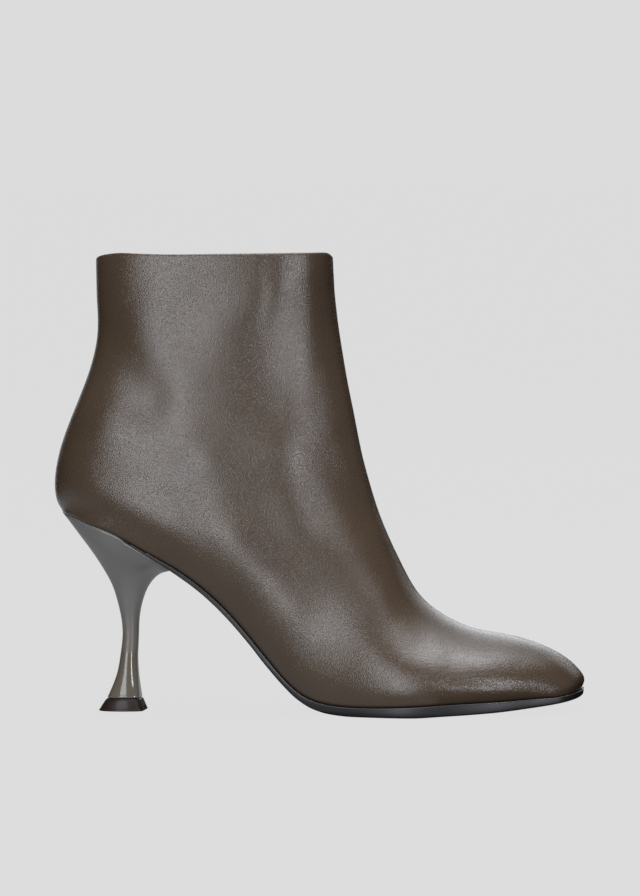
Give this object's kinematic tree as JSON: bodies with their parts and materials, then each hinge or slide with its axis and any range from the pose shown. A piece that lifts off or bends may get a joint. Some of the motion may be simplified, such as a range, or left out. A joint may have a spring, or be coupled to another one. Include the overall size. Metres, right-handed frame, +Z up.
{
  "type": "heeled ankle boot",
  "caption": "Right ankle boot in smooth taupe leather with a soft square toe, a plain straight collar and a high waisted heel, hollow inside.",
  "frame": {"origin": "middle of the bounding box in plan, on the floor the boot stands on", "axes": "+X from heel to toe, +Y to the inner side of the foot, +Z up"},
  "size_m": [0.2394, 0.0796, 0.2062],
  "materials": {
    "upper_leather": "smooth dyed leather, soft satin sheen",
    "insole_leather": "plain smooth sock leather",
    "outsole_rubber": "satin near black",
    "heel_lacquer": "glossy smoky grey to brown lacquer",
    "top_piece_plastic": "glossy dark brown"
  },
  "bodies": {
    "root": {"upper": "upper_leather", "insole": "insole_leather", "outsole": "outsole_rubber", "heel": "heel_lacquer", "heel_top_piece": "top_piece_plastic"}
  },
  "joints": []
}
